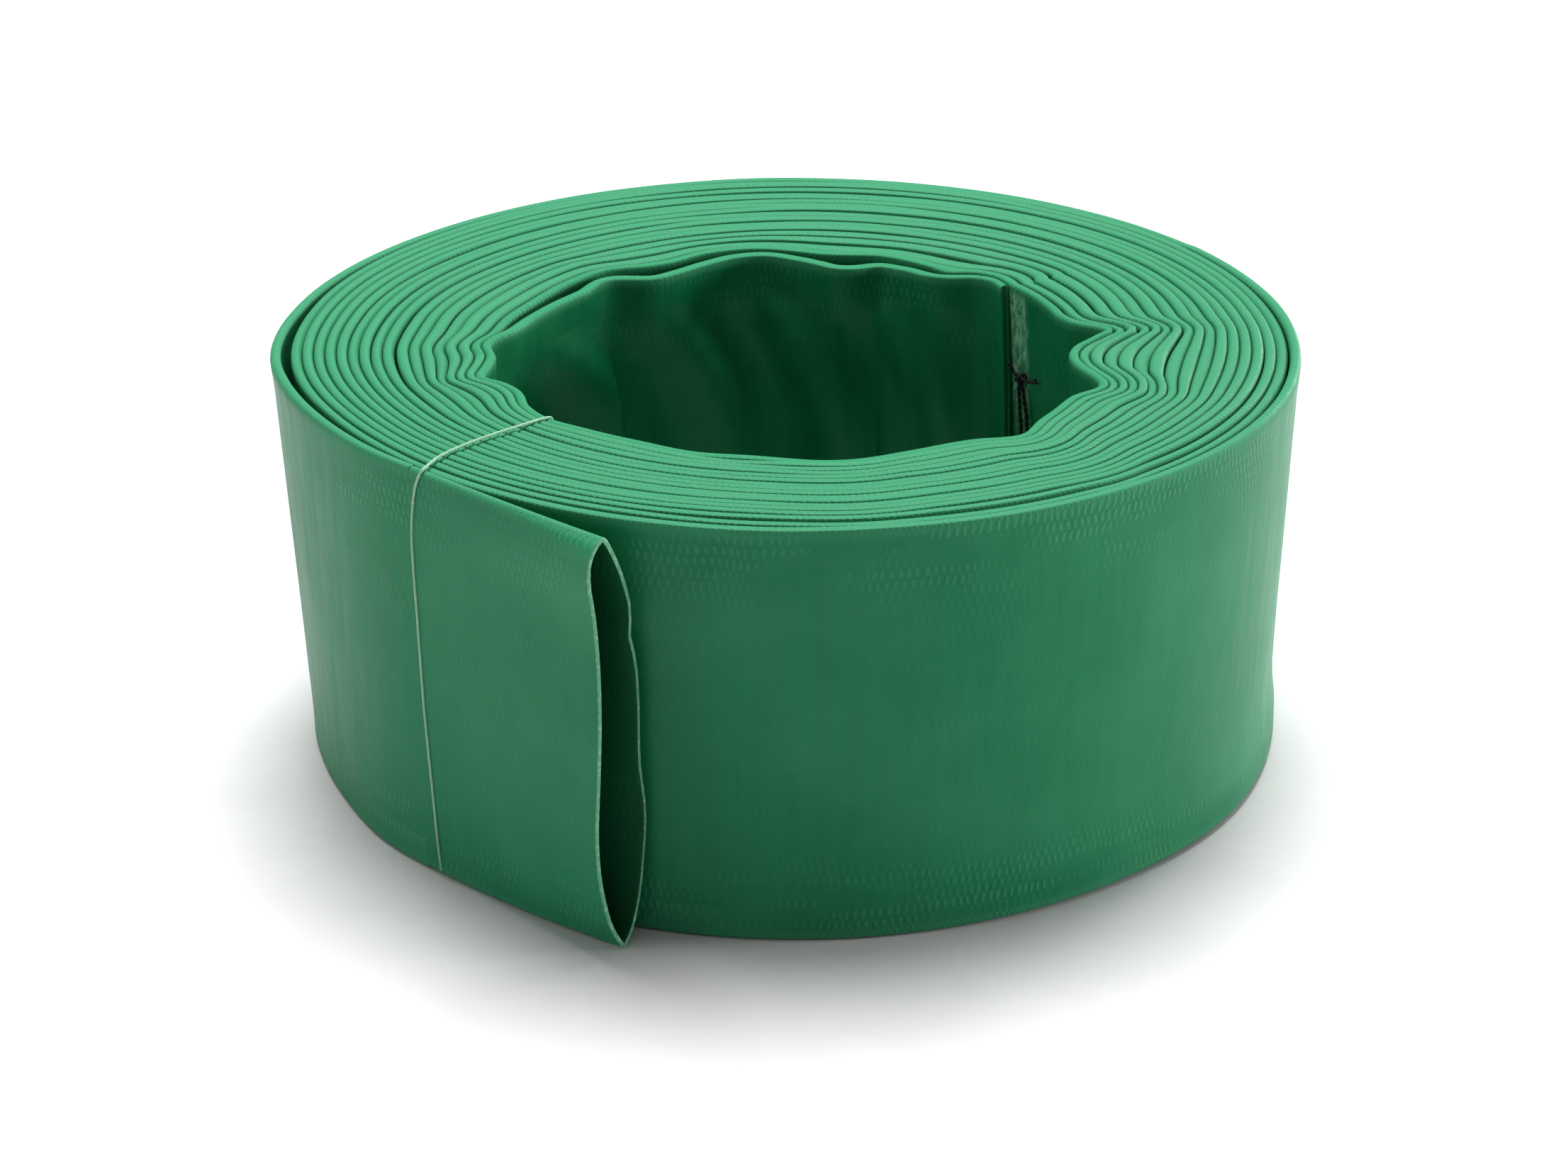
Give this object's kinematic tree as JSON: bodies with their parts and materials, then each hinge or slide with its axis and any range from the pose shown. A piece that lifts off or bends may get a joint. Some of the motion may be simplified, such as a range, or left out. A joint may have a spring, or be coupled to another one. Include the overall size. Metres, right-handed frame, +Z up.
{
  "type": "lay-flat water hose",
  "caption": "Flexible PVC lay-flat water hose, pressed flat and rolled up on edge, tied round its section with string, its free end standing away from the roll.",
  "frame": {"origin": "on the axis of the roll, at the surface it stands on", "axes": "+Z up along the roll's axis; +X the way the free end of the hose points and its mouth faces; +Y to the left of that"},
  "size_m": [0.2027, 0.2053, 0.0849],
  "materials": {
    "green_pvc": "soft satin PVC with a faint woven ribbing",
    "polyester_yarn": "circular-woven polyester filament yarn",
    "green_pvc_liner": "smooth matt PVC",
    "pale_string": "thin twisted string",
    "black_cord": "thin black cord"
  },
  "bodies": {
    "roll": {"roll_cover": "green_pvc", "roll_yarn": "polyester_yarn", "roll_liner": "green_pvc_liner", "tie_string": "pale_string", "tie_string_knot": "pale_string", "tie_string_ends": "pale_string"},
    "tail": {"tail_cover": "green_pvc", "tail_yarn": "polyester_yarn", "tail_liner": "green_pvc_liner"},
    "inner_flap": {"inner_flap_cover": "green_pvc", "inner_flap_yarn": "polyester_yarn", "inner_flap_liner": "green_pvc_liner", "inner_tie_loop": "black_cord", "inner_tie_knot": "black_cord", "inner_tie_ends": "black_cord"}
  },
  "joints": [
    {"name": "tail_bend", "type": "hinge", "parent": "roll", "child": "tail", "pos_m": [0, -0.10335, 0.042], "axis": [0, 0, -1], "range_deg": [0, 75], "stiffness_Nm_per_rad": 0.006},
    {"name": "inner_flap_bend", "type": "hinge", "parent": "roll", "child": "inner_flap", "pos_m": [-0.03025, 0.03915, 0.042], "axis": [0, 0, -1], "range_deg": [0, 60], "stiffness_Nm_per_rad": 0.006}
  ]
}
